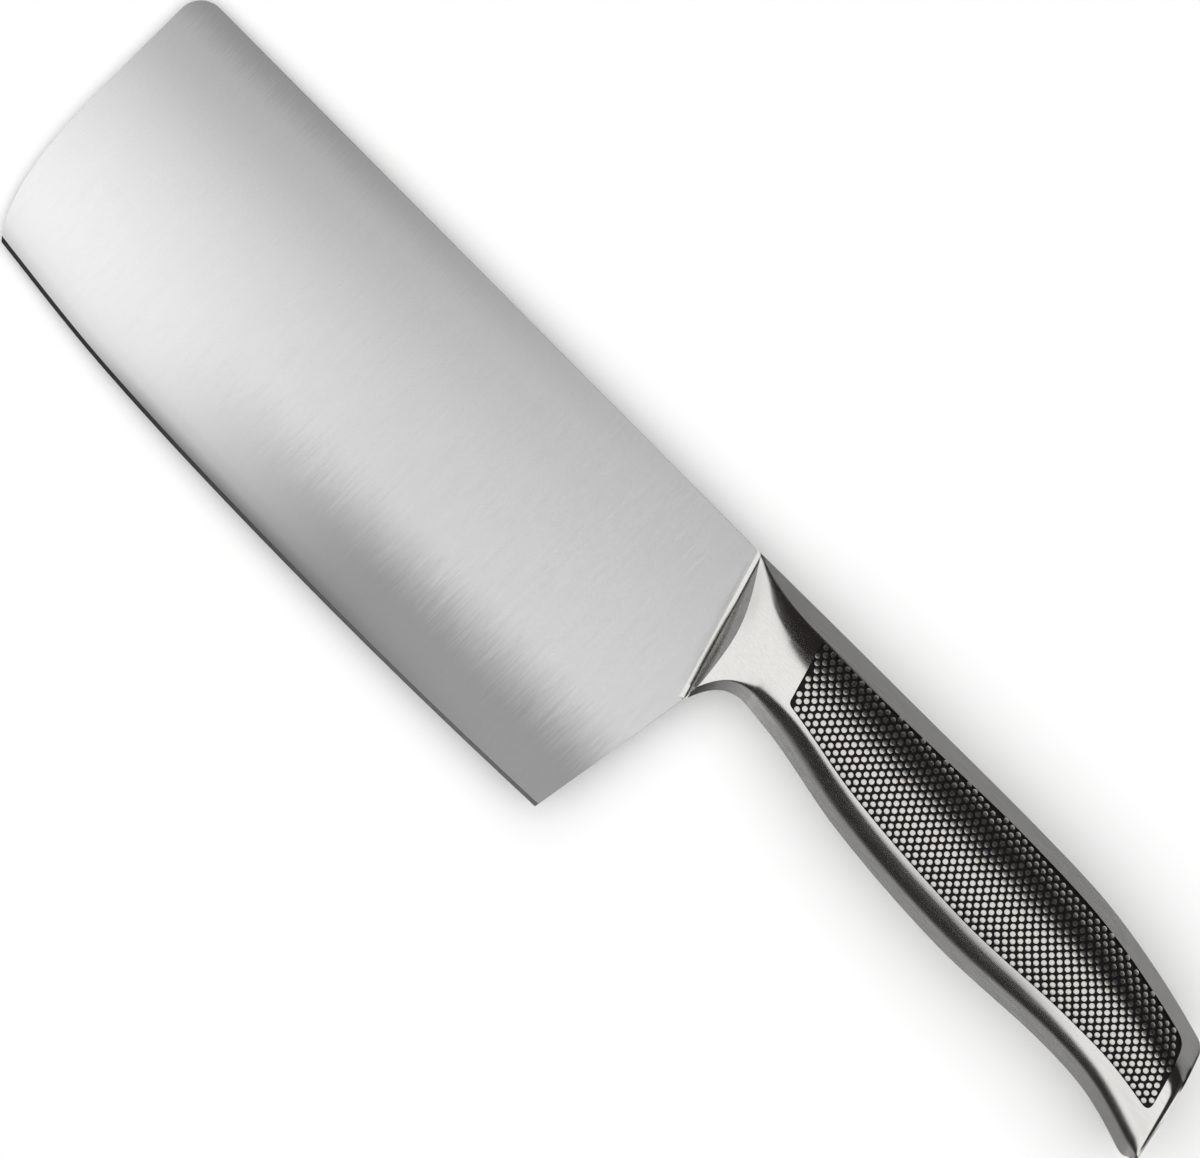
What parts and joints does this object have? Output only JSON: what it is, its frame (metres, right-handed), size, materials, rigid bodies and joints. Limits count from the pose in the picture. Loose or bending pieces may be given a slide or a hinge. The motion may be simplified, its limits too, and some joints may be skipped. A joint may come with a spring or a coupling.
{
  "type": "cleaver",
  "caption": "Broad rectangular kitchen cleaver with a satin steel blade, flared steel bolster and hollow steel handle with black pipped grip panels.",
  "frame": {"origin": "Middle of the bounding box in X and Y, at the lowest point of the cleaver lying on its right side.", "axes": "+X along the cleaver from the blade to the butt of the handle, +Y from the cutting edge to the spine, +Z out of the left face."},
  "size_m": [0.3124, 0.0728, 0.0207],
  "materials": {
    "blade_steel": "satin, ground across the blade",
    "handle_steel": "satin polished",
    "grip_enamel": "black resin enamel between steel pips",
    "filler_resin": "cast resin, hidden",
    "weight_iron": "raw casting, hidden"
  },
  "bodies": {
    "root": {"blade": "blade_steel", "bolster": "handle_steel", "handle_shell_left": "handle_steel", "handle_shell_right": "handle_steel", "grip_inlay_left": "grip_enamel", "grip_inlay_right": "grip_enamel", "core_filler": "filler_resin", "balance_weight": "weight_iron"}
  },
  "joints": []
}
